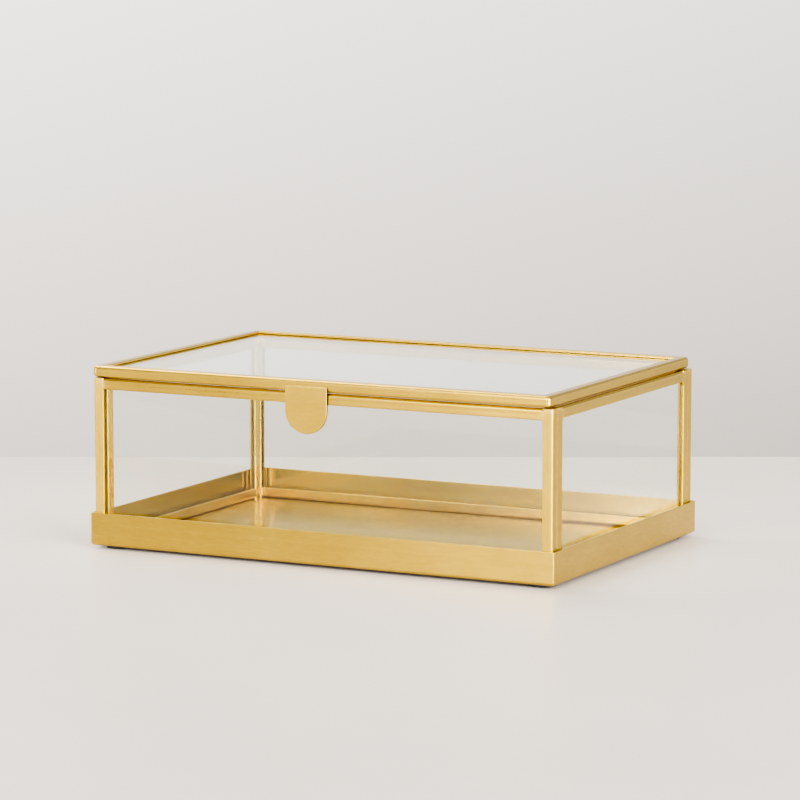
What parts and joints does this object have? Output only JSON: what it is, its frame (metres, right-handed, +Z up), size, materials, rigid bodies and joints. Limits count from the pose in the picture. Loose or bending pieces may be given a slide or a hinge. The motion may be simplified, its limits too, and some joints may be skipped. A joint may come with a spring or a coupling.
{
  "type": "jewelry box",
  "caption": "Rectangular glass keepsake box with brass channel frames, a folded brass tray base on rubber feet, and a hinged glass lid with a round-ended pull tab.",
  "frame": {"origin": "middle of the base, on the surface that the feet stand on", "axes": "+X to the box's right seen from the front, front faces -Y, +Z up; the long side lies along X"},
  "size_m": [0.23, 0.1567, 0.083],
  "materials": {
    "brass_sheet": "satin, brushed along the length",
    "brass_channel": "satin, brushed along the length",
    "brass_tab": "satin",
    "brass_hinge": "plain drawn brass",
    "glass": "clear float glass",
    "rubber": "matt black"
  },
  "bodies": {
    "case": {"base_tray": "brass_sheet", "foot_front_left": "rubber", "foot_front_right": "rubber", "foot_back_left": "rubber", "foot_back_right": "rubber", "front_frame_left_upright": "brass_channel", "front_frame_right_upright": "brass_channel", "front_frame_bottom_rail": "brass_channel", "front_frame_top_rail": "brass_channel", "back_frame_left_upright": "brass_channel", "back_frame_right_upright": "brass_channel", "back_frame_bottom_rail": "brass_channel", "back_frame_top_rail": "brass_channel", "left_frame_front_upright": "brass_channel", "left_frame_back_upright": "brass_channel", "left_frame_bottom_rail": "brass_channel", "left_frame_top_rail": "brass_channel", "right_frame_front_upright": "brass_channel", "right_frame_back_upright": "brass_channel", "right_frame_bottom_rail": "brass_channel", "right_frame_top_rail": "brass_channel", "front_glass": "glass", "back_glass": "glass", "left_glass": "glass", "right_glass": "glass", "case_hinge_leaf_left": "brass_hinge", "case_hinge_leaf_right": "brass_hinge", "hinge_pin_left": "brass_hinge", "hinge_pin_right": "brass_hinge"},
    "lid": {"lid_front_rail": "brass_channel", "lid_back_rail": "brass_channel", "lid_left_rail": "brass_channel", "lid_right_rail": "brass_channel", "lid_glass": "glass", "lid_pull_tab": "brass_tab", "lid_hinge_leaf_left": "brass_hinge", "lid_hinge_leaf_right": "brass_hinge"}
  },
  "joints": [
    {"name": "lid_hinge", "type": "hinge", "parent": "case", "child": "lid", "pos_m": [0, 0.07735, 0.0778], "axis": [-1, 0, 0], "range_deg": [0, 104]}
  ]
}
